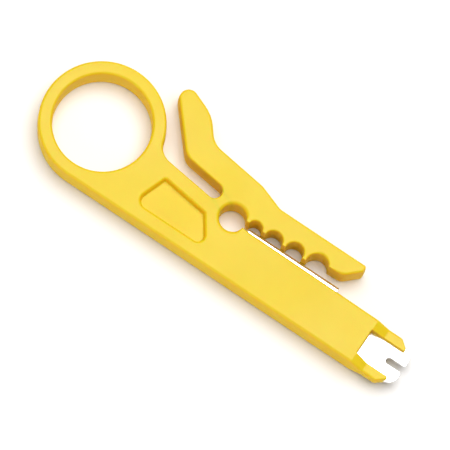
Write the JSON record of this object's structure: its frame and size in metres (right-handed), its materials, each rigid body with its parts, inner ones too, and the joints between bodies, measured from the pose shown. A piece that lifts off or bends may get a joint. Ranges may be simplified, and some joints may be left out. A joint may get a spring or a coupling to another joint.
{
  "type": "punch down tool",
  "caption": "Flat moulded cable stripper and punch down tool with a finger ring, a sprung lever with a notched jaw over a stripping blade, and a slotted blade between prongs.",
  "frame": {"origin": "centre of the finger hole on the back face", "axes": "+X along the handle from the finger ring to the punch down blade, +Y across the handle to the lever, +Z out of the front face"},
  "size_m": [0.0947, 0.0304, 0.0066],
  "materials": {
    "moulding": "yellow plastic, moulded, with a soft sheen",
    "blade_steel": "bright ground steel"
  },
  "bodies": {
    "handle": {"front_handle_half": "moulding", "rear_handle_half": "moulding", "front_hinge_web": "moulding", "rear_hinge_web": "moulding", "stripping_blade": "blade_steel", "punch_down_blade": "blade_steel"},
    "lever": {"front_lever_half": "moulding", "rear_lever_half": "moulding"}
  },
  "joints": [
    {"name": "lever_hinge", "type": "hinge", "parent": "handle", "child": "lever", "pos_m": [0.03015, 0.00002, 0.0033], "axis": [0, 0, 1], "range_deg": [0, 7], "stiffness_Nm_per_rad": 5, "deforming": ["front_hinge_web", "rear_hinge_web"]}
  ]
}
